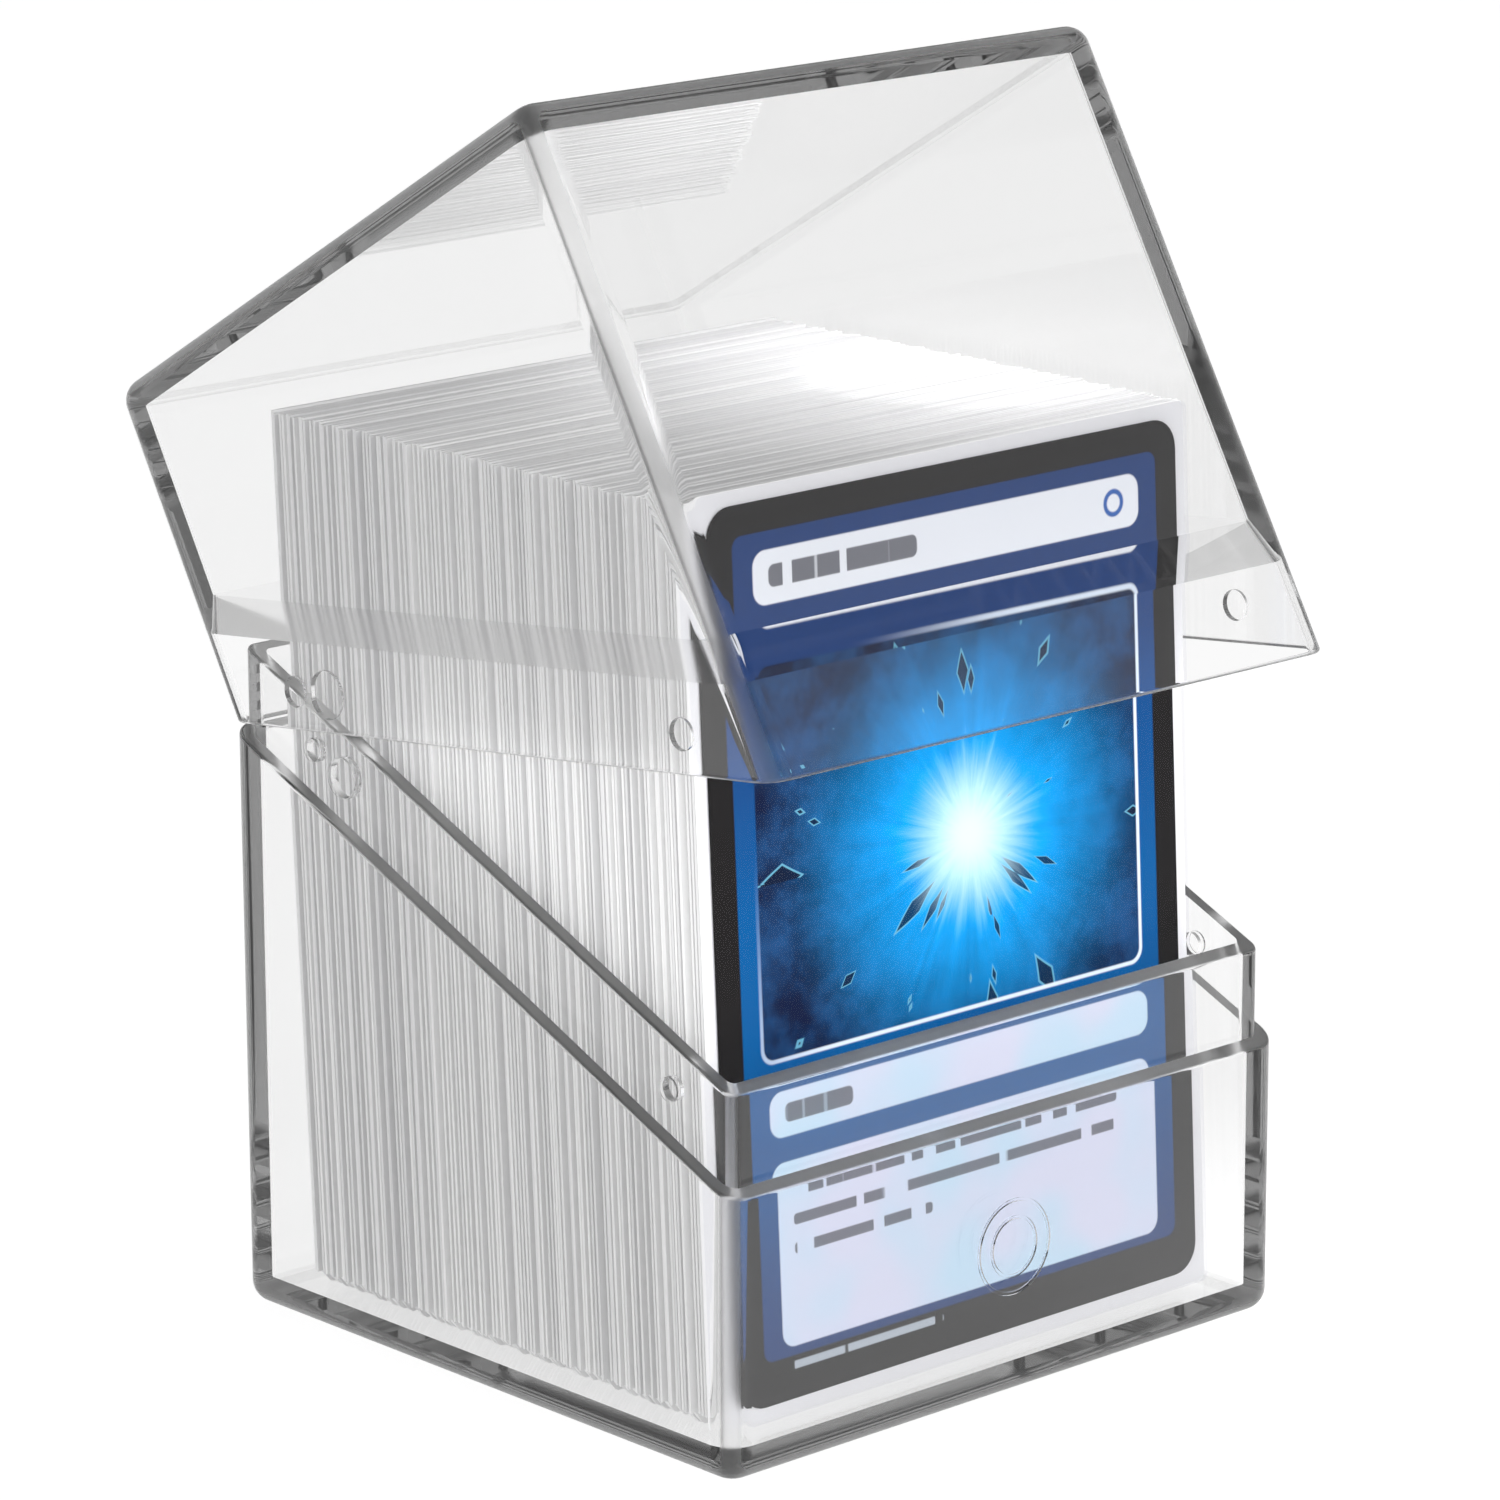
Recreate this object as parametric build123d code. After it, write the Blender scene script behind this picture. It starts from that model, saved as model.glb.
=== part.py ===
"""Clear deck box for sleeved trading cards: a base with a stepped collar, a lid tilted back, and the deck.

Millimetres, +Z up, front towards -Y. The origin is the centre of the base's underside.
"""
import os
from math import asin, atan2, cos, degrees, sin

from build123d import *

# Outer size of the closed box
WIDTH = 76.0
DEPTH = 75.0
HEIGHT = 98.0
CORNER_R = 2.8  # upright corners
EDGE_R = 2.4  # round of the bottom edge and of the lid's top edge
LIP_R = 0.35  # small round of the rims

# The rim where base and lid meet slants down from the back to the front
RIM_BACK = 61.5
RIM_FRONT = 28.7
SLANT = atan2(RIM_BACK - RIM_FRONT, DEPTH)

# Base
WALL = 3.0
FLOOR = 3.0
COLLAR_INSET = 1.5
COLLAR_HEIGHT = 9.2

# Lid: a thin skirt goes over the collar, and a bevel inside leads up to the full wall
SKIRT_GAP = 0.35  # free space between skirt and collar
RIM_GAP = 0.2  # parting gap between the rims of the closed box
SKIRT_WALL = COLLAR_INSET - SKIRT_GAP
LID_WALL = 2.8
LID_TOP = 3.0
BEVEL_LOW = 9.9  # heights above the rim
BEVEL_HIGH = 14.1
LID_TILT = 30.0  # degrees, as stored

# Snaps on both side walls: distance behind the middle, radius
SNAPS = [(25.7, 1.25), (21.1, 2.15), (-27.5, 1.25)]
SNAP_LIFT = 4.4  # above the rim
SNAP_PROUD = 0.2
SNAP_EDGE = 0.06
HOLLOW_DEEP = 0.8  # blind hollow in the collar behind each bump
RECESS_DEEP = 0.6
RECESS_EXTRA_R = 0.35

# Two plain moulded rings on the front of the base
RING_Z = 15.6
RING_RADII = [5.0, 3.2]
RING_LINE = 0.35
RING_DEEP = 0.2

# Standard card, its sleeve and the deck
CARD_W, CARD_H, CARD_T = 63.0, 88.0, 0.30
SLEEVE_W, SLEEVE_H, SLEEVE_T = 66.0, 91.0, 0.59
POCKET_T = 0.34
POCKET_PLAY = 0.1  # between the card and the pocket's welds
CARDS = 100
CARDS_PER_NODE = 5
PITCH = 0.608
DECK_FRONT_LOW = 6.4  # behind the box's front face, at the deck's foot and at its top
DECK_FRONT_HIGH = 10.8
DECK_LEAN = degrees(asin((DECK_FRONT_HIGH - DECK_FRONT_LOW) / SLEEVE_H))
DECK_LIFT = 0.05  # keeps the leaning lower edges clear of the floor


def rim_plane(lift):
    """The slanted plane of the rim, raised by lift."""
    middle = (0, 0, (RIM_FRONT + RIM_BACK) / 2 + lift)
    return Plane(origin=middle, x_dir=(1, 0, 0), z_dir=(0, -sin(SLANT), cos(SLANT)))


def rim_height(y):
    return (RIM_FRONT + RIM_BACK) / 2 + (RIM_BACK - RIM_FRONT) * y / DEPTH


def block(inset, bottom, top):
    """An upright block with rounded corners, inset from the outer walls."""
    outline = RectangleRounded(WIDTH - 2 * inset, DEPTH - 2 * inset, max(CORNER_R - inset, 0.8))
    return Pos(0, 0, bottom) * extrude(outline, top - bottom)


def below(solid, lift):
    return split(solid, bisect_by=rim_plane(lift), keep=Keep.BOTTOM)


def above(solid, lift):
    return split(solid, bisect_by=rim_plane(lift), keep=Keep.TOP)


def rim_edges(solid, lift, inset):
    """The edges that lie in the rim plane raised by lift and run along the wall at this inset."""
    plane = rim_plane(lift)
    flat = solid.edges().filter_by(lambda e: all(abs(plane.to_local_coords(e @ t).Z) < 1e-4 for t in (0, 0.5, 1)))
    half_w, half_d = WIDTH / 2 - inset, DEPTH / 2 - inset
    reach = max(CORNER_R - inset, 0.8)
    on_wall = lambda p: max(abs(p.X) - half_w, abs(p.Y) - half_d) > -reach and (
        abs(abs(p.X) - half_w) < 1e-4 or abs(abs(p.Y) - half_d) < 1e-4
    )
    return flat.filter_by(lambda e: on_wall(e @ 0) and on_wall(e @ 1))


def snap(y, radius, inset, depth):
    """A round disc on each side wall, centred at this inset and depth thick, as a pair."""
    z = rim_height(y) + SNAP_LIFT
    disc = Rot(0, 90, 0) * Cylinder(radius, depth)
    return [Pos(side * (WIDTH / 2 - inset), y, z) * disc for side in (-1, 1)]


def snap_bumps():
    """Low round bumps with a soft outer edge; half of each disc is sunk in the collar."""
    bumps = []
    for y, radius in SNAPS:
        for disc in snap(y, radius, COLLAR_INSET, 2 * SNAP_PROUD):
            rings = disc.edges().filter_by(GeomType.CIRCLE).sort_by(lambda e: abs(e.center().X))
            bumps.append(fillet(rings[-1], SNAP_EDGE))
    return bumps


def front_rings():
    """The shallow grooves of the two rings, as cutters."""
    grooves = []
    for radius in RING_RADII:
        face = Circle(radius) - Circle(radius - RING_LINE)
        front = Plane(origin=(0, -DEPTH / 2 - 1, RING_Z), x_dir=(1, 0, 0), z_dir=(0, 1, 0))
        grooves.append(extrude(front * face, 1 + RING_DEEP))
    return grooves


def base_case():
    shell = block(0, 0, HEIGHT)
    shell = fillet(shell.faces().sort_by(Axis.Z)[0].edges(), EDGE_R)
    shell = below(shell, 0)
    shell = fillet(rim_edges(shell, 0, 0), LIP_R)
    collar = below(block(COLLAR_INSET, FLOOR, HEIGHT), COLLAR_HEIGHT)
    collar = fillet(rim_edges(collar, COLLAR_HEIGHT, COLLAR_INSET), LIP_R)
    case = shell + collar - block(WALL, FLOOR, HEIGHT)
    case = case + snap_bumps()
    for y, radius in SNAPS:
        case = case - snap(y, radius, WALL, 2 * HOLLOW_DEEP)
    return case - front_rings()


def lid_bevel():
    """The cavity's bevel, between two sections parallel to the rim."""
    low = Face.make_rect(3 * WIDTH, 3 * DEPTH, rim_plane(BEVEL_LOW)) & block(SKIRT_WALL, 0, HEIGHT)
    high = Face.make_rect(3 * WIDTH, 3 * DEPTH, rim_plane(BEVEL_HIGH)) & block(LID_WALL, 0, HEIGHT)
    return loft([low.faces()[0], high.faces()[0]], ruled=True)


def lid_case():
    """The lid, closed on the base."""
    lid = block(0, 0, HEIGHT)
    lid = fillet(lid.faces().sort_by(Axis.Z)[-1].edges(), EDGE_R)
    lid = above(lid, RIM_GAP)
    lid = fillet(rim_edges(lid, RIM_GAP, 0), LIP_R)
    lid = lid - below(block(SKIRT_WALL, 0, HEIGHT), BEVEL_LOW)
    lid = lid - lid_bevel() - above(block(LID_WALL, 0, HEIGHT - LID_TOP), BEVEL_HIGH)
    for y, radius in SNAPS:
        lid = lid - snap(y, radius + RECESS_EXTRA_R, SKIRT_WALL, 2 * RECESS_DEEP)
    return lid


def tilted(lid):
    """The lid, tilted back about the base's rear rim."""
    hinge = Pos(0, DEPTH / 2, RIM_BACK)
    return hinge * Rot(-LID_TILT, 0, 0) * hinge.inverse() * lid


def standing(solid, number):
    """Stand a piece of the deck at a card's place, counted from 0 at the front, and lean it back."""
    front = -DEPTH / 2 + DECK_FRONT_LOW + number * PITCH
    return Pos(0, front, FLOOR + DECK_LIFT) * Rot(-DECK_LEAN, 0, 0) * solid


def slab(width, height, thickness, foot=0.0, back=0.0):
    """An upright sheet with its lower front edge on the X axis, moved up by foot and back by back."""
    return Pos(0, back + thickness / 2, foot + height / 2) * Box(width, thickness, height)


def front_card():
    margin = (SLEEVE_H - CARD_H) / 2
    return standing(slab(CARD_W, CARD_H, CARD_T, margin, (SLEEVE_T - CARD_T) / 2), 0)


def front_card_sleeve():
    """The first sleeve: two films welded on three sides, open at the top."""
    margin = (SLEEVE_H - CARD_H) / 2 - POCKET_PLAY
    pocket = slab(CARD_W + 2 * POCKET_PLAY, SLEEVE_H, POCKET_T, margin, (SLEEVE_T - POCKET_T) / 2)
    return standing(slab(SLEEVE_W, SLEEVE_H, SLEEVE_T) - pocket, 0)


def sleeved_cards(first, last):
    """The sleeved cards from first up to last, one closed solid each."""
    return [standing(slab(SLEEVE_W, SLEEVE_H, SLEEVE_T), number) for number in range(first, last)]


def write(name, shape):
    solids = shape if isinstance(shape, list) else shape.solids()
    whole = Compound(label=name, children=[Solid(s.wrapped) for group in solids for s in group.solids()])
    export_step(whole, f"parts/{name}.step")


def main():
    os.makedirs("parts", exist_ok=True)
    write("base_case", base_case())
    write("lid_case", tilted(lid_case()))
    write("front_card", front_card())
    write("front_card_sleeve", front_card_sleeve())
    for group, first in enumerate(range(1, CARDS, CARDS_PER_NODE), 1):
        write(f"sleeved_cards_{group:02d}", sleeved_cards(first, min(first + CARDS_PER_NODE, CARDS)))


main()
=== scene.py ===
"""A clear deck box for sleeved trading cards: base, deck and tilted lid. Metres, +Z up, front towards -Y."""
import math

import bpy
import numpy as np
from mathutils import Matrix, Vector


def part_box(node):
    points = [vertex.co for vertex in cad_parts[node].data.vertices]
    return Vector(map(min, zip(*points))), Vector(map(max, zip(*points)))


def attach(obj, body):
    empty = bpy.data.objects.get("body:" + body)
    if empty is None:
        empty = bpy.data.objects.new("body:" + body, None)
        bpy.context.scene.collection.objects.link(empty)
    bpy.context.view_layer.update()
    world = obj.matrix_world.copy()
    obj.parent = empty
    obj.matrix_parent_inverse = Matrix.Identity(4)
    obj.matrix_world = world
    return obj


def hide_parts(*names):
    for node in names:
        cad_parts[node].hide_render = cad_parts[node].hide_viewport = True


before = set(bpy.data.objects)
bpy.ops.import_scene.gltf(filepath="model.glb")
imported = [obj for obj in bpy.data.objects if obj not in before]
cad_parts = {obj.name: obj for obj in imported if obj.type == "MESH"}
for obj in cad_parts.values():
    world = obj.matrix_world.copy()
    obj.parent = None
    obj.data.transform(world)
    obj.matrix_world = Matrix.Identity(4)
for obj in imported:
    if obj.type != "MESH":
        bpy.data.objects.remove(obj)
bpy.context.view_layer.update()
MM = 0.001

# ---- View of the box ----
# A long lens from the front left, a little above the rim, with the closed box's middle near the axis.
VIEW_TURN, VIEW_RISE, VIEW_ROLL = (math.radians(a) for a in (-42.48, 14.65, -0.24))
VIEW_AIM = Vector((1.1, 2.0, 58.5)) * MM
VIEW_DISTANCE = 665 * MM
VIEW_LENS = 157.5

towards_viewer = Vector(
    (
        math.sin(VIEW_TURN) * math.cos(VIEW_RISE),
        -math.cos(VIEW_TURN) * math.cos(VIEW_RISE),
        math.sin(VIEW_RISE),
    )
)
camera = bpy.data.objects.new("camera", bpy.data.cameras.new("camera"))
bpy.context.scene.collection.objects.link(camera)
camera.data.lens = VIEW_LENS
camera.data.sensor_width = 36
camera.data.clip_start, camera.data.clip_end = 0.01, 20
turned = (-towards_viewer).to_track_quat("-Z", "Y").to_matrix().to_4x4()
place = Matrix.Translation(VIEW_AIM + towards_viewer * VIEW_DISTANCE)
camera.matrix_world = place @ turned @ Matrix.Rotation(VIEW_ROLL, 4, "Z")
bpy.context.scene.camera = camera

# ---- Base case ----
# One injection moulding in clear, faintly smoky styrene: floor, four walls, slanted rim and stepped collar.
# It is polished, so it bends what is behind it, and light that runs along inside a wall comes out grey.
CLEAR_INDEX = 1.49
CLEAR_LOSS = 17.0  # per metre of plastic
CLEAR_SHADE = 0.97  # of a lamp's light that passes one face
RIM_FROST = 0.42  # roughness of the rims, which keep the matt of the mould's parting faces
RIM_SQUARE = (0.955, 0.985)  # cosines to the rim's own normal, from where the frost starts to where it is full
EDGE_FROST = 0.8  # of the rims' frost, on the rounded edges
EDGE_SQUARE = (0.88, 0.96)  # cosines to the nearest axis, from where that frost is full to where it ends
FLOW_SCALE, FLOW_DEPTH = 22.0, 0.00004  # slow waves of the moulding, per metre and metres
RIM_SLANT = math.atan2(61.5 - 28.7, 75.0)  # down towards the front


class Value:
    """A number that varies over a surface. Each operator adds the Math node that works it out."""

    def __init__(self, shader, socket):
        self.shader, self.socket = shader, socket

    def math(self, operation, *terms):
        node = self.shader.node("ShaderNodeMath", {"operation": operation}, dict(enumerate(terms)))
        return Value(self.shader, node.outputs[0])

    def __add__(self, other):
        return self.math("ADD", self, other)

    def __radd__(self, other):
        return self.math("ADD", other, self)

    def __sub__(self, other):
        return self.math("SUBTRACT", self, other)

    def __rsub__(self, other):
        return self.math("SUBTRACT", other, self)

    def __mul__(self, other):
        return self.math("MULTIPLY", self, other)

    def __rmul__(self, other):
        return self.math("MULTIPLY", other, self)

    def __truediv__(self, other):
        return self.math("DIVIDE", self, other)

    def __pow__(self, other):
        return self.math("POWER", self, other)

    def __abs__(self):
        return self.math("ABSOLUTE", self)

    def at_least(self, other):
        return self.math("MAXIMUM", self, other)

    def at_most(self, other):
        return self.math("MINIMUM", self, other)

    def between(self, low, high):
        """0 below low, 1 above high, and smooth between them."""
        settings = {"interpolation_type": "SMOOTHSTEP"}
        node = self.shader.node("ShaderNodeMapRange", settings, {0: self, 1: low, 2: high, 3: 0.0, 4: 1.0})
        return Value(self.shader, node.outputs[0])


class Shader:
    """One material, and the way its nodes are added."""

    def __init__(self, name):
        self.material = bpy.data.materials.new(name)
        self.material.use_nodes = True
        self.tree = self.material.node_tree
        self.tree.nodes.clear()
        self.output = self.node("ShaderNodeOutputMaterial")

    def node(self, kind, settings=None, sockets=None):
        node = self.tree.nodes.new(kind)
        for key, value in (settings or {}).items():
            setattr(node, key, value)
        for key, value in (sockets or {}).items():
            value = value.socket if isinstance(value, Value) else value
            if isinstance(value, bpy.types.NodeSocket):
                self.tree.links.new(value, node.inputs[key])
            else:
                node.inputs[key].default_value = value
        return node

    def noise(self, place, scale, detail=2.0, roughness=0.5):
        sockets = {"Vector": place, "Scale": scale, "Detail": detail, "Roughness": roughness}
        return Value(self, self.node("ShaderNodeTexNoise", None, sockets).outputs["Fac"])

    def mix(self, share, first, second):
        """A colour: first where share is 0, second where it is 1."""
        node = self.node("ShaderNodeMix", {"data_type": "RGBA"}, {"Factor": share, 6: first, 7: second})
        return node.outputs[2]

    def vector(self, x, y, z=0.0):
        return self.node("ShaderNodeCombineXYZ", None, {0: x, 1: y, 2: z}).outputs[0]

    def bump(self, height, depth):
        """A normal from a height of 0 to 1 over this depth in metres."""
        sockets = {"Height": height, "Distance": depth, "Strength": 1.0}
        return self.node("ShaderNodeBump", None, sockets).outputs[0]

    def attribute(self, name):
        node = self.node("ShaderNodeAttribute", {"attribute_name": name})
        return Value(self, node.outputs["Fac"])

    def finish(self, surface, volume=None):
        self.tree.links.new(surface, self.output.inputs["Surface"])
        if volume:
            self.tree.links.new(volume, self.output.inputs["Volume"])
        return self.material


def clear_styrene(name, tilt, rim_painted_shade):
    """Polished clear plastic: it bends sight, lets lamps through, and takes light by the length crossed.

    The part leans back by tilt. Faces square to its slanted rim are frosted, and their colour is greyed to the
    share given last as painted shade for the dark line a rim shows (1 paints none), and its rounded edges,
    which face along none of its own three axes, are a little frosted.
    """
    shader = Shader(name)
    coordinates = shader.node("ShaderNodeTexCoord")
    place = coordinates.outputs["Object"]

    def faces_along(axis):
        sockets = {0: coordinates.outputs["Normal"], 1: axis}
        product = shader.node("ShaderNodeVectorMath", {"operation": "DOT_PRODUCT"}, sockets)
        return abs(Value(shader, product.outputs["Value"]))

    slant = tilt - RIM_SLANT
    rim = faces_along((0, math.sin(slant), math.cos(slant))).between(*RIM_SQUARE)
    back, up = (0, math.cos(tilt), -math.sin(tilt)), (0, math.sin(tilt), math.cos(tilt))
    square = faces_along((1, 0, 0)).at_least(faces_along(back)).at_least(faces_along(up))
    frost = rim.at_least((1 - square.between(*EDGE_SQUARE)) * EDGE_FROST)
    flow = shader.noise(place, FLOW_SCALE, detail=1.0)
    body = shader.node(
        "ShaderNodeBsdfPrincipled",
        None,
        {
            # Painted shade: the rims' colour is greyed so that they show as a dark line.
            "Base Color": shader.mix(rim, (1, 1, 1, 1), (rim_painted_shade, rim_painted_shade, rim_painted_shade, 1)),
            "Roughness": frost * RIM_FROST,
            "IOR": CLEAR_INDEX,
            "Transmission Weight": 1.0,
            "Normal": shader.bump(flow, FLOW_DEPTH),
        },
    )
    shade = (CLEAR_SHADE, CLEAR_SHADE, CLEAR_SHADE, 1)
    opened = shader.node("ShaderNodeBsdfTransparent", None, {"Color": shade})
    ray = shader.node("ShaderNodeLightPath").outputs["Is Shadow Ray"]
    both = shader.node("ShaderNodeMixShader", None, {0: ray, 1: body.outputs[0], 2: opened.outputs[0]})
    loss = shader.node("ShaderNodeVolumeAbsorption", None, {"Color": (0, 0, 0, 1), "Density": CLEAR_LOSS})
    return shader.finish(both.outputs[0], loss.outputs[0])


def wears(node, material):
    """Gives a CAD node this material in all its slots."""
    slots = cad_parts[node].data.materials
    slots.clear()
    slots.append(material)


wears("base_case", clear_styrene("clear_base", 0.0, 1.0))

# ---- Front card ----
# Coated card with rounded corners, printed black to the edge: a blue frame, a name bar, a picture window, a
# kind bar and a rules box. The picture is a plain burst of light among shards, and the words are grey bars.
CARD_WIDTH, CARD_HEIGHT, CARD_THICK = 63 * MM, 88 * MM, 0.30 * MM
CARD_CORNER = 3 * MM
SLEEVE_WIDTH, SLEEVE_HEIGHT, SLEEVE_THICK = 66 * MM, 91 * MM, 0.59 * MM
sleeve_low, sleeve_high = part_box("front_card_sleeve")
LEAN = math.asin((sleeve_high[1] - sleeve_low[1] - SLEEVE_THICK) / SLEEVE_HEIGHT)
DECK_FOOT = (sleeve_low[1], sleeve_low[2] + SLEEVE_THICK * math.sin(LEAN))


def leaned(across, back, up):
    """Points of the leaning deck: back runs from the front sleeve's face, and up from its foot."""
    y = DECK_FOOT[0] + back * math.cos(LEAN) + up * math.sin(LEAN)
    z = DECK_FOOT[1] + up * math.cos(LEAN) - back * math.sin(LEAN)
    return np.stack(np.broadcast_arrays(across, y, z), axis=-1)


def rounded_outline(width, height, radius, steps=8):
    """Points round a rectangle with arcs at its corners, anticlockwise from the front, about its middle."""
    turn = np.linspace(0, math.pi / 2, steps)
    corners = []
    for quarter, (side, end) in enumerate(((1, 1), (-1, 1), (-1, -1), (1, -1))):
        angle = turn + quarter * math.pi / 2
        x = side * (width / 2 - radius) + radius * np.cos(angle)
        z = end * (height / 2 - radius) + radius * np.sin(angle)
        corners.append(np.stack([x, z], axis=-1))
    return np.concatenate(corners)


def new_piece(name, points, faces, material, body="base"):
    mesh = bpy.data.meshes.new(name)
    mesh.from_pydata([tuple(p) for p in points], [], [tuple(int(i) for i in face) for face in faces])
    mesh.materials.append(material)
    mesh.update()
    piece = bpy.data.objects.new(name, mesh)
    bpy.context.scene.collection.objects.link(piece)
    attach(piece, body)
    return piece


def grid_faces(rows, columns, first=0):
    """Quads between the points of a rows by columns grid that closes on itself along its rows."""
    r, c = np.meshgrid(np.arange(rows - 1), np.arange(columns), indexing="ij")
    following = (c + 1) % columns
    corners = [r * columns + c, r * columns + following, (r + 1) * columns + following, (r + 1) * columns + c]
    return np.stack(corners, axis=-1).reshape(-1, 4) + first


def thin_sheet(name, width, height, thickness, radius, back, material):
    """A sheet: its rounded outline, carried from the front's middle over the edge to the back's middle.

    The profile's share of the outline is 0.02 at the middles and 1 at the edge, with a small bevel.
    """
    outline = rounded_outline(width, height, radius)
    bevel = thickness / 4
    shares = np.array([0.02, 0.5, 1.0, 1.0, 1.0, 1.0, 0.5, 0.02])
    insets = np.array([0, 0, bevel, 0, 0, bevel, 0, 0])
    depths = np.array([0, 0, 0, bevel, thickness - bevel, thickness, thickness, thickness])
    inward = 1 - insets[:, None, None] / np.abs(outline).max()
    flat = outline[None] * shares[:, None, None] * inward
    up = SLEEVE_HEIGHT / 2 + flat[..., 1]
    points = leaned(flat[..., 0], back + depths[:, None], up)
    count = len(outline)
    faces = [list(f) for f in grid_faces(len(shares), count)]
    faces += [list(range(count))[::-1], list(range((len(shares) - 1) * count, len(shares) * count))]
    piece = new_piece(name, points.reshape(-1, 3), [f[::-1] for f in faces], material)
    layer = piece.data.uv_layers.new(name="print")
    index = np.empty(len(piece.data.loops), dtype=np.int64)
    piece.data.loops.foreach_get("vertex_index", index)
    across = (flat[..., 0] / width + 0.5).ravel()[index]
    down = (0.5 - flat[..., 1] / height).ravel()[index]
    layer.data.foreach_set("uv", np.stack([across, down], axis=-1).astype(np.float32).ravel())
    return piece


def panel(u, v, left, right, top, bottom, radius, soft=0.12):
    """1 inside a rounded panel, in millimetres from the card's left and top, 0 outside, soft at its edge."""
    dx = (abs(u - (left + right) / 2) - ((right - left) / 2 - radius)).at_least(0.0)
    dy = (abs(v - (top + bottom) / 2) - ((bottom - top) / 2 - radius)).at_least(0.0)
    distance = (dx * dx + dy * dy) ** 0.5
    return 1 - distance.between(radius - soft, radius + soft)


def word_bars(shader, u, v, left, right, top, height, seed):
    """One line of bars for words: a thin panel, broken where a noise along the line dips."""
    line = panel(u, v, left, right, top, top + height, height / 3, soft=0.1)
    along = shader.vector(u * 0.55, seed)
    gaps = shader.noise(along, 1.0, detail=0.0).between(0.36, 0.40)
    return line * gaps


def burst_picture(shader, u, v):
    """A burst: its light falls with distance and streaks by direction, and long dark shards lie round it."""
    x, y = u - 34.0, v - 37.0
    distance = (x * x + y * y) ** 0.5
    angle = y.math("ARCTAN2", y, x)
    ray = shader.vector(x / (distance + 0.4), y / (distance + 0.4))
    streaks = shader.noise(ray, 6.0, detail=6.0, roughness=0.75)
    clouds = shader.noise(shader.vector(u, v), 0.13, detail=6.0, roughness=0.65)
    glow = (1 - distance.between(3.0, 27.0)) * (0.25 + 0.9 * streaks + 0.8 * clouds)
    core = 1 - (distance * (1.3 - 0.9 * streaks)).between(0.5, 8.5)
    cells = shader.node(
        "ShaderNodeTexVoronoi",
        {"feature": "F1", "distance": "MANHATTAN"},
        {"Vector": shader.vector(angle * 4.6, distance * 0.10), "Scale": 1.0, "Randomness": 1.0},
    )
    pick = shader.node("ShaderNodeSeparateColor", None, {0: cells.outputs["Color"]})
    near = Value(shader, cells.outputs["Distance"])
    chosen = Value(shader, pick.outputs[0]).between(0.30, 0.32)
    reach = 0.16 + 0.28 * Value(shader, pick.outputs[1])
    inside = near / reach
    outside_core = distance.between(5.0, 6.0)
    shards = chosen * (1 - inside.between(0.94, 1.0)) * outside_core
    rims = chosen * inside.between(0.82, 0.90) * (1 - inside.between(0.96, 1.04)) * outside_core
    dark = shader.mix(clouds.between(0.35, 0.7), (0.002, 0.008, 0.04, 1), (0.012, 0.07, 0.20, 1))
    lit = shader.mix(glow.at_most(1.0), dark, (0.0, 0.36, 0.86, 1))
    shaded = shader.mix(shards * 0.88, lit, (0.002, 0.008, 0.03, 1))
    shaded = shader.mix(rims * 0.5, shaded, (0.25, 0.75, 1.0, 1))
    return shader.mix(core, shaded, (0.70, 0.97, 1.0, 1))


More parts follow.
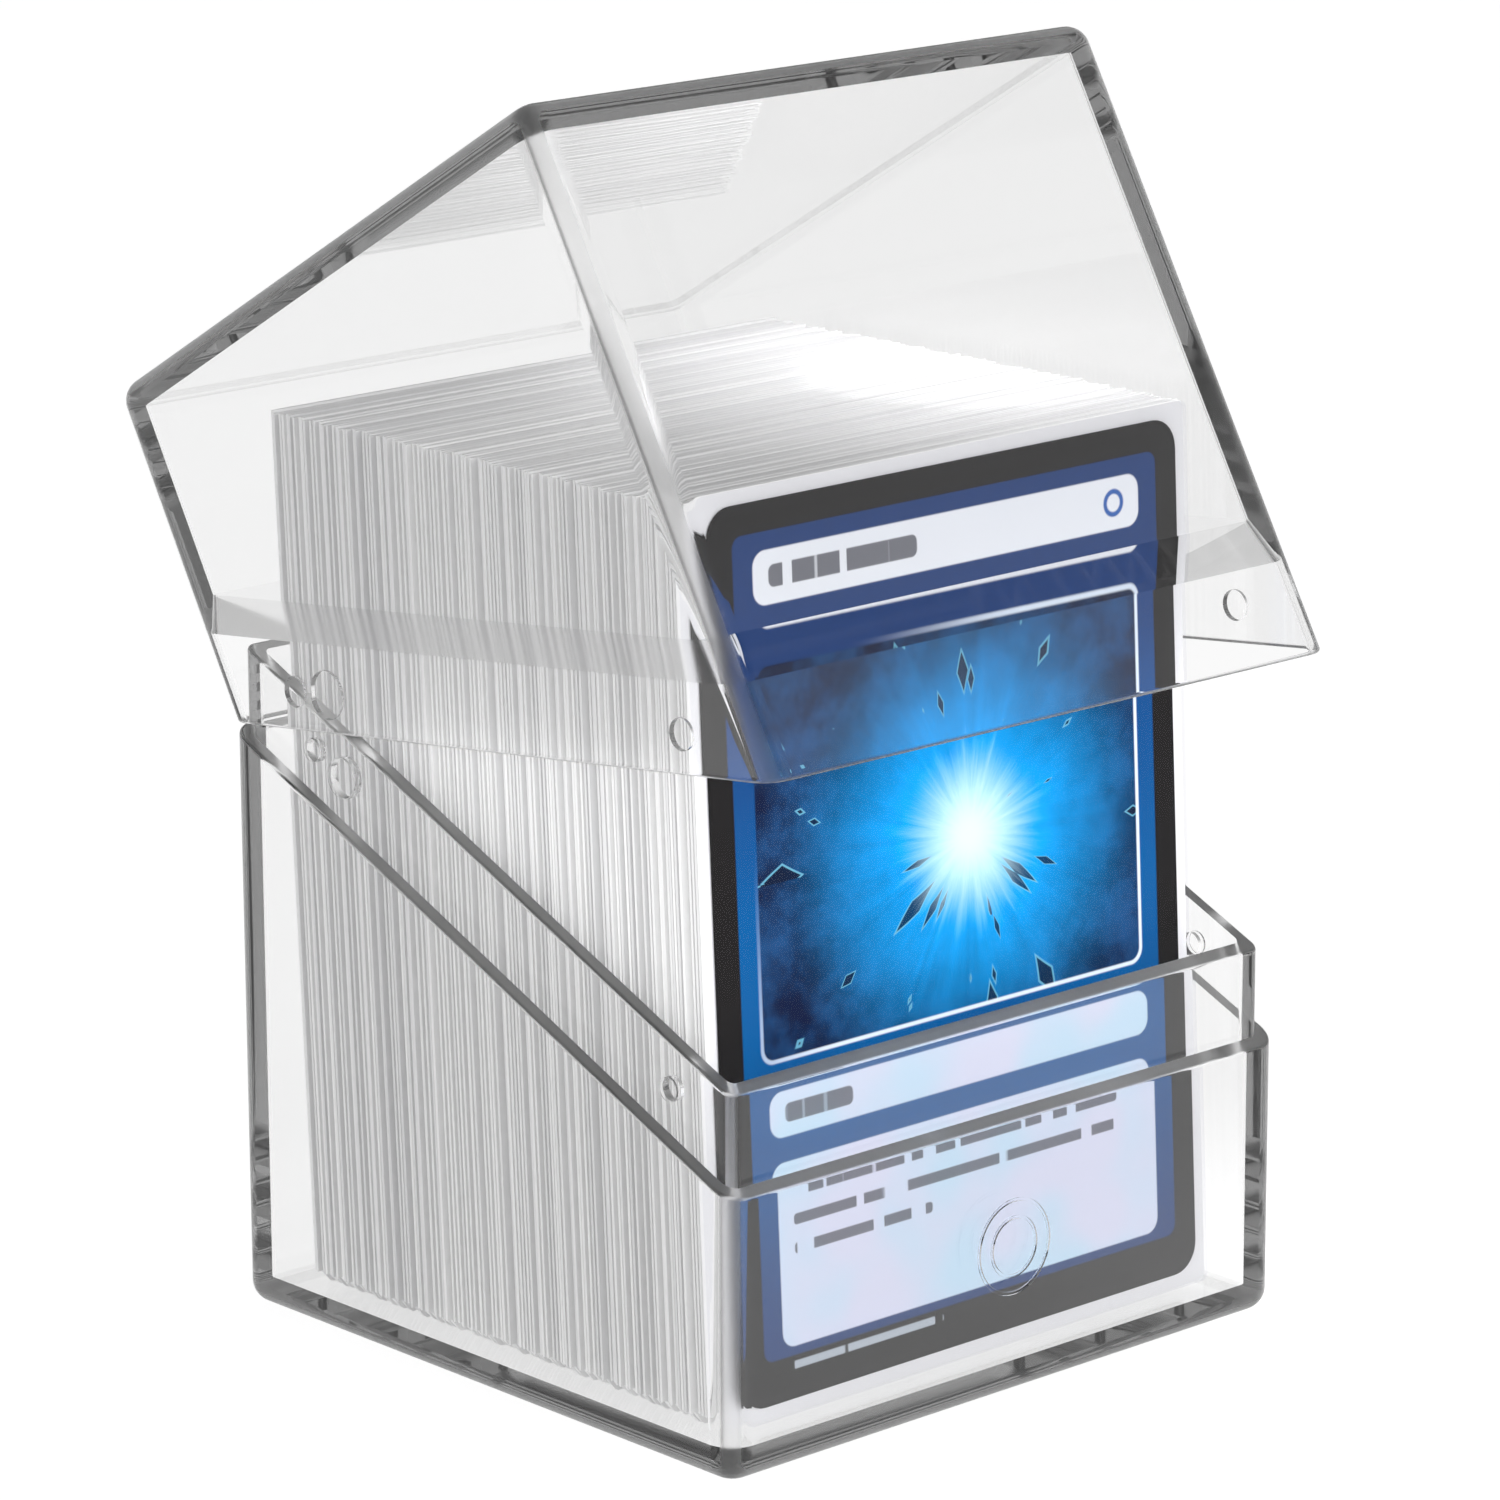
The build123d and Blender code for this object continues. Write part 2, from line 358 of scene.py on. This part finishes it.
def printed_face():
    """The print, worked out in millimetres from the card's left and top edges, under a satin varnish."""
    shader = Shader("printed_card")
    flat = shader.node("ShaderNodeUVMap", {"uv_map": "print"}).outputs[0]
    parts = shader.node("ShaderNodeSeparateXYZ", None, {0: flat})
    u = Value(shader, parts.outputs[0]) * 63.0
    v = Value(shader, parts.outputs[1]) * 88.0
    swirl = shader.noise(shader.vector(u, v), 0.07, detail=3.0)
    lift = (v - 46.0).between(-34.0, 0.0) * (1 - (v - 46.0).between(12.0, 40.0))
    frame_blue = shader.mix(lift * (0.5 + swirl), (0.008, 0.045, 0.18, 1), (0.0, 0.10, 0.31, 1))
    colour = shader.mix(panel(u, v, 3.0, 60.0, 3.0, 83.6, 1.2), (0.011, 0.010, 0.010, 1), frame_blue)
    outline = panel(u, v, 5.3, 57.7, 12.3, 54.7, 1.6)
    fading = (u * 0.02 + v * 0.012).between(0.5, 1.0)
    colour = shader.mix(outline * fading, colour, (0.80, 0.90, 1.0, 1))
    colour = shader.mix(panel(u, v, 5.7, 57.3, 12.7, 54.3, 1.3), colour, burst_picture(shader, u, v))
    sheen = shader.noise(shader.vector(u, v), 0.09, detail=1.0).between(0.35, 0.7)
    pale = shader.mix(sheen, (0.78, 0.80, 0.95, 1), (0.62, 0.83, 0.97, 1))
    white_print = (0.92, 0.95, 0.98, 1)
    for top, bottom, ink in ((4.8, 10.1, white_print), (57.3, 61.9, pale), (64.4, 82.7, pale)):
        colour = shader.mix(panel(u, v, 5.5, 57.5, top, bottom, 1.6), colour, ink)
    lines = [(7.5, 27.0, 6.3, 2.2, 3.1), (7.5, 16.5, 58.6, 1.9, 8.2)]
    lines += [(7.5, 52.0 - 26.0 * (row == 2), 66.6 + 2.9 * row, 1.1, 11.3 + row) for row in range(3)]
    for left, right, top, height, seed in lines:
        words = word_bars(shader, u, v, left, right, top, height, seed)
        colour = shader.mix(words * 0.85, colour, (0.06, 0.06, 0.08, 1))
    credit = word_bars(shader, u, v, 6.0, 27.0, 84.2, 0.8, 15.0)
    colour = shader.mix(credit * 0.7, colour, (0.7, 0.78, 0.85, 1))
    badge = panel(u, v, 52.6, 55.4, 6.0, 8.8, 1.4) - panel(u, v, 53.1, 54.9, 6.5, 8.3, 0.9)
    colour = shader.mix(badge, colour, (0.03, 0.13, 0.45, 1))
    fibre = shader.noise(shader.vector(u, v), 6.0, detail=2.0)
    varnish = shader.node(
        "ShaderNodeBsdfPrincipled",
        None,
        {
            "Base Color": colour,
            "Roughness": 0.34 + 0.1 * fibre,
            "Specular IOR Level": 0.08,
            "Normal": shader.bump(fibre, 0.000004),
        },
    )
    return shader.finish(varnish.outputs[0])


front_card = thin_sheet(
    "front_card_printed",
    CARD_WIDTH,
    CARD_HEIGHT,
    CARD_THICK,
    CARD_CORNER,
    (SLEEVE_THICK - CARD_THICK) / 2,
    printed_face(),
)
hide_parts("front_card")

# ---- Sleeves ----
# Each card stands in a soft sleeve: a clear front film welded at the sides and foot to a white back film.
# The front card shows through its film, and the deck behind shows only the white edges of its sleeves.
FILM_THICK = 0.12 * MM
FILM_MIRROR = 0.10  # matt-coated against glare


def white_film():
    """White satin film, a little different in tone from sleeve to sleeve, with painted shade inside the deck's
    open tops and a faint rolled grain.
    """
    shader = Shader("white_film")
    place = shader.node("ShaderNodeTexCoord").outputs["Object"]
    grain = shader.noise(place, 900.0, detail=2.0)
    tone = shader.attribute("tone")
    # The tone attribute also carries painted shade in the open tops of the deck's sleeves.
    colour = shader.mix(tone, (0.65, 0.65, 0.66, 1), (0.89, 0.89, 0.89, 1))
    film = shader.node(
        "ShaderNodeBsdfPrincipled",
        None,
        {
            "Base Color": colour,
            "Roughness": 0.5 + 0.12 * grain,
            "IOR": 1.5,
            "Normal": shader.bump(grain, 0.00001),
        },
    )
    return shader.finish(film.outputs[0])


def clear_film():
    """Glossy film too thin to bend sight: clear, with a mirror's share that grows at a glance."""
    shader = Shader("clear_film")
    mirrored = Value(shader, shader.node("ShaderNodeFresnel", None, {"IOR": 1.45}).outputs[0])
    inner = Value(shader, shader.node("ShaderNodeNewGeometry").outputs["Backfacing"])
    share = mirrored * (1 - inner) * FILM_MIRROR
    opened = shader.node("ShaderNodeBsdfTransparent", None, {"Color": (0.97, 0.97, 0.98, 1)})
    gloss = shader.node("ShaderNodeBsdfAnisotropic", None, {"Color": (1, 1, 1, 1), "Roughness": 0.12})
    both = shader.node("ShaderNodeMixShader", None, {0: share, 1: opened.outputs[0], 2: gloss.outputs[0]})
    return shader.finish(both.outputs[0])


white = white_film()
sleeve_back = thin_sheet(
    "front_sleeve_back",
    SLEEVE_WIDTH,
    SLEEVE_HEIGHT,
    FILM_THICK,
    0.8 * MM,
    SLEEVE_THICK - FILM_THICK,
    white,
)
tones_and_shade = sleeve_back.data.attributes.new("tone", "FLOAT", "POINT")
tones_and_shade.data.foreach_set("value", np.full(len(sleeve_back.data.vertices), 1.0, dtype=np.float32))
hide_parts("front_card_sleeve")
sleeve_front = thin_sheet(
    "front_sleeve_film",
    SLEEVE_WIDTH,
    SLEEVE_HEIGHT,
    FILM_THICK / 2,
    0.8 * MM,
    0.0,
    clear_film(),
)

# ---- Deck ----
# The other cards, five to a piece as in the frame. A sleeve is full where its card is, closes to a thin weld
# at its sides and foot, and is open at the top, where the card's edge shows a little below the films and
# painted shade darkens the opening.
DECK_PITCH = 0.608 * MM
DECK_CARDS = 100
GROUP_CARDS = 5
WELD = 1.5 * MM
TOP_SHORT = 1.4 * MM  # from the films' edge down to the card
MOUTH_PAINTED_SHADE = 0.35  # painted shade: darker inside the open top, as a share of the sleeve's tone
deck_chance = np.random.default_rng(7)


def sleeve_profile():
    """Thickness share and height of a sleeve's section, up the front, in at the top, and down the back."""
    front = [(-0.12, 0), (-0.5, WELD), (-0.5, SLEEVE_HEIGHT / 2), (-0.5, SLEEVE_HEIGHT - 4 * MM)]
    mouth = [(-0.48, SLEEVE_HEIGHT), (-0.30, SLEEVE_HEIGHT), (-0.28, SLEEVE_HEIGHT - TOP_SHORT)]
    half = np.array(front + mouth)
    back = half[::-1] * (-1, 1)
    return np.concatenate([half, back])


def deck_group(name, numbers):
    """Sleeves as grids of columns across by profile points round, each with its shift, tone and fullness, and
    painted shade in its open top.
    """
    edge = SLEEVE_WIDTH / 2
    right = np.array([0, 12 * MM, 24 * MM, edge - 1.9 * MM, edge - WELD, edge - 0.5 * MM, edge])
    fullness = np.array([1, 1, 1, 1, 0.95, 0.66, 0.55])
    columns = np.concatenate([-right[:0:-1], right])
    fullness = np.concatenate([fullness[:0:-1], fullness])
    profile = sleeve_profile()
    in_mouth = (profile[:, 1] > SLEEVE_HEIGHT - 2 * TOP_SHORT) & (np.abs(profile[:, 0]) < 0.4)
    is_sunk = (profile[:, 1] < SLEEVE_HEIGHT - TOP_SHORT / 2) & (np.abs(profile[:, 0]) < 0.29)
    sunk = np.where(is_sunk, 1.0, 0.0)
    points, faces, tones_and_shade = [], [], []
    size = len(columns) * len(profile)
    for order, number in enumerate(numbers):
        shift = deck_chance.uniform(-0.35, 0.35) * MM
        short = deck_chance.uniform(0.0, 0.25) * MM
        fat = deck_chance.uniform(0.86, 0.98)
        bow = deck_chance.uniform(-1, 1) * 0.04 * MM
        height = profile[:, 1] - short * profile[:, 1] / SLEEVE_HEIGHT
        closed = np.clip((1 - fullness) / 0.3, 0, 1)[:, None] * sunk[None]
        up = height[None] + closed * TOP_SHORT
        across = columns[:, None] + shift + 0 * up
        wave = bow * np.sin(math.pi * up / SLEEVE_HEIGHT)
        middle = number * DECK_PITCH * math.cos(LEAN) + SLEEVE_THICK / 2
        back = middle + wave + profile[None, :, 0] * SLEEVE_THICK * fat * fullness[:, None]
        drop = np.tan(LEAN) * number * DECK_PITCH * math.cos(LEAN)
        points.append(leaned(across, back, up + drop).reshape(-1, 3))
        first = order * size
        faces += [list(f) for f in grid_faces(len(columns), len(profile), first)]
        faces.append(list(range(first, first + len(profile)))[::-1])
        faces.append(list(range(first + size - len(profile), first + size)))
        tone = deck_chance.beta(2.2, 1.4)
        # Painted shade: the points in the open top have their tone dimmed.
        tones_and_shade.append(np.tile(np.where(in_mouth, MOUTH_PAINTED_SHADE * tone, tone), len(columns)))
    piece = new_piece(name, np.concatenate(points), [f[::-1] for f in faces], white)
    layer = piece.data.attributes.new("tone", "FLOAT", "POINT")
    layer.data.foreach_set("value", np.concatenate(tones_and_shade).astype(np.float32))
    return piece


for group, first in enumerate(range(1, DECK_CARDS, GROUP_CARDS), 1):
    numbers = range(first, min(first + GROUP_CARDS, DECK_CARDS))
    sleeves = deck_group(f"sleeves_{group:02d}", numbers)
    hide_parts(f"sleeved_cards_{group:02d}")

# ---- Lid case ----
# The second moulding, in the same plastic: full walls that step down through a bevel to a thin skirt.
LID_TILT = math.radians(30)

# The lid's rims are greyed to 0.12 as painted shade, for the dark line along them.
wears("lid_case", clear_styrene("clear_lid", LID_TILT, 0.12))

# ---- Studio ----
# A pale floor, a white surround that lights everything evenly, and soft lamps from above right and in front.
FLOOR_DROP = 0.3 * MM
FLOOR_HALF = 4.0
FLOOR_GLOW = 0.90  # keeps the floor white as far as it is seen
ROOM_LIGHT, CEILING_LIGHT = 1.0, 0.33
CEILING_FROM, CEILING_FULL = 0.1, 0.6  # sines of the height above the horizon


def floor_paint():
    shader = Shader("floor_paint")
    place = shader.node("ShaderNodeTexCoord").outputs["Object"]
    mottle = shader.noise(place, 3.0)
    colour = shader.mix(mottle, (0.21, 0.21, 0.21, 1), (0.23, 0.23, 0.23, 1))
    sockets = {"Base Color": colour, "Roughness": 0.9, "Specular IOR Level": 0.0}
    sockets |= {"Emission Color": (1, 1, 1, 1), "Emission Strength": FLOOR_GLOW}
    paint = shader.node("ShaderNodeBsdfPrincipled", None, sockets)
    return shader.finish(paint.outputs[0])


floor_mesh = bpy.data.meshes.new("studio_floor")
corners = [(x * FLOOR_HALF, y * FLOOR_HALF, -FLOOR_DROP) for x, y in ((-1, -1), (1, -1), (1, 1), (-1, 1))]
floor_mesh.from_pydata(corners, [], [(0, 1, 2, 3)])
floor_mesh.materials.append(floor_paint())
studio_floor = bpy.data.objects.new("studio_floor", floor_mesh)
bpy.context.scene.collection.objects.link(studio_floor)


def soft_lamp(name, place, size, power, aim=(0, 0, 0.06), spread=180):
    """A square area lamp that points at this place and lights a cone of this many degrees."""
    lamp = bpy.data.objects.new(name, bpy.data.lights.new(name, "AREA"))
    lamp.data.size = size
    lamp.data.energy = power
    lamp.data.spread = math.radians(spread)
    lamp.location = place
    lamp.rotation_euler = (Vector(aim) - Vector(place)).to_track_quat("-Z", "Y").to_euler()
    bpy.context.scene.collection.objects.link(lamp)
    lamp.visible_camera = lamp.visible_transmission = lamp.visible_glossy = False
    return lamp


soft_lamp("lamp_over_deck", (0.045, 0.01, 0.165), 0.03, 0.05, (0.030, 0.0, 0.09), 60)
soft_lamp("lamp_left", (-0.9, -0.45, 0.25), 0.6, 5.4)
soft_lamp("lamp_front", (0.25, -1.0, 0.35), 0.6, 6.6)


def surround():
    """A white room round the horizon under a dark ceiling, so that the plastic's edges let out grey light."""
    world = bpy.data.worlds.new("surround")
    world.use_nodes = True
    tree = world.node_tree
    place = tree.nodes.new("ShaderNodeTexCoord")
    parts = tree.nodes.new("ShaderNodeSeparateXYZ")
    fade = tree.nodes.new("ShaderNodeMapRange")
    tree.links.new(place.outputs["Generated"], parts.inputs[0])
    tree.links.new(parts.outputs["Z"], fade.inputs[0])
    for index, number in enumerate((CEILING_FROM, CEILING_FULL, ROOM_LIGHT, CEILING_LIGHT), 1):
        fade.inputs[index].default_value = number
    tree.links.new(fade.outputs[0], tree.nodes["Background"].inputs["Strength"])
    tree.nodes["Background"].inputs["Color"].default_value = (1, 1, 1, 1)
    return world


bpy.context.scene.world = surround()
bpy.context.scene.view_settings.view_transform = "Standard"
bpy.context.scene.cycles.max_bounces = 32
bpy.context.scene.cycles.transmission_bounces = 28
bpy.context.scene.cycles.glossy_bounces = 24
bpy.context.scene.cycles.transparent_max_bounces = 24
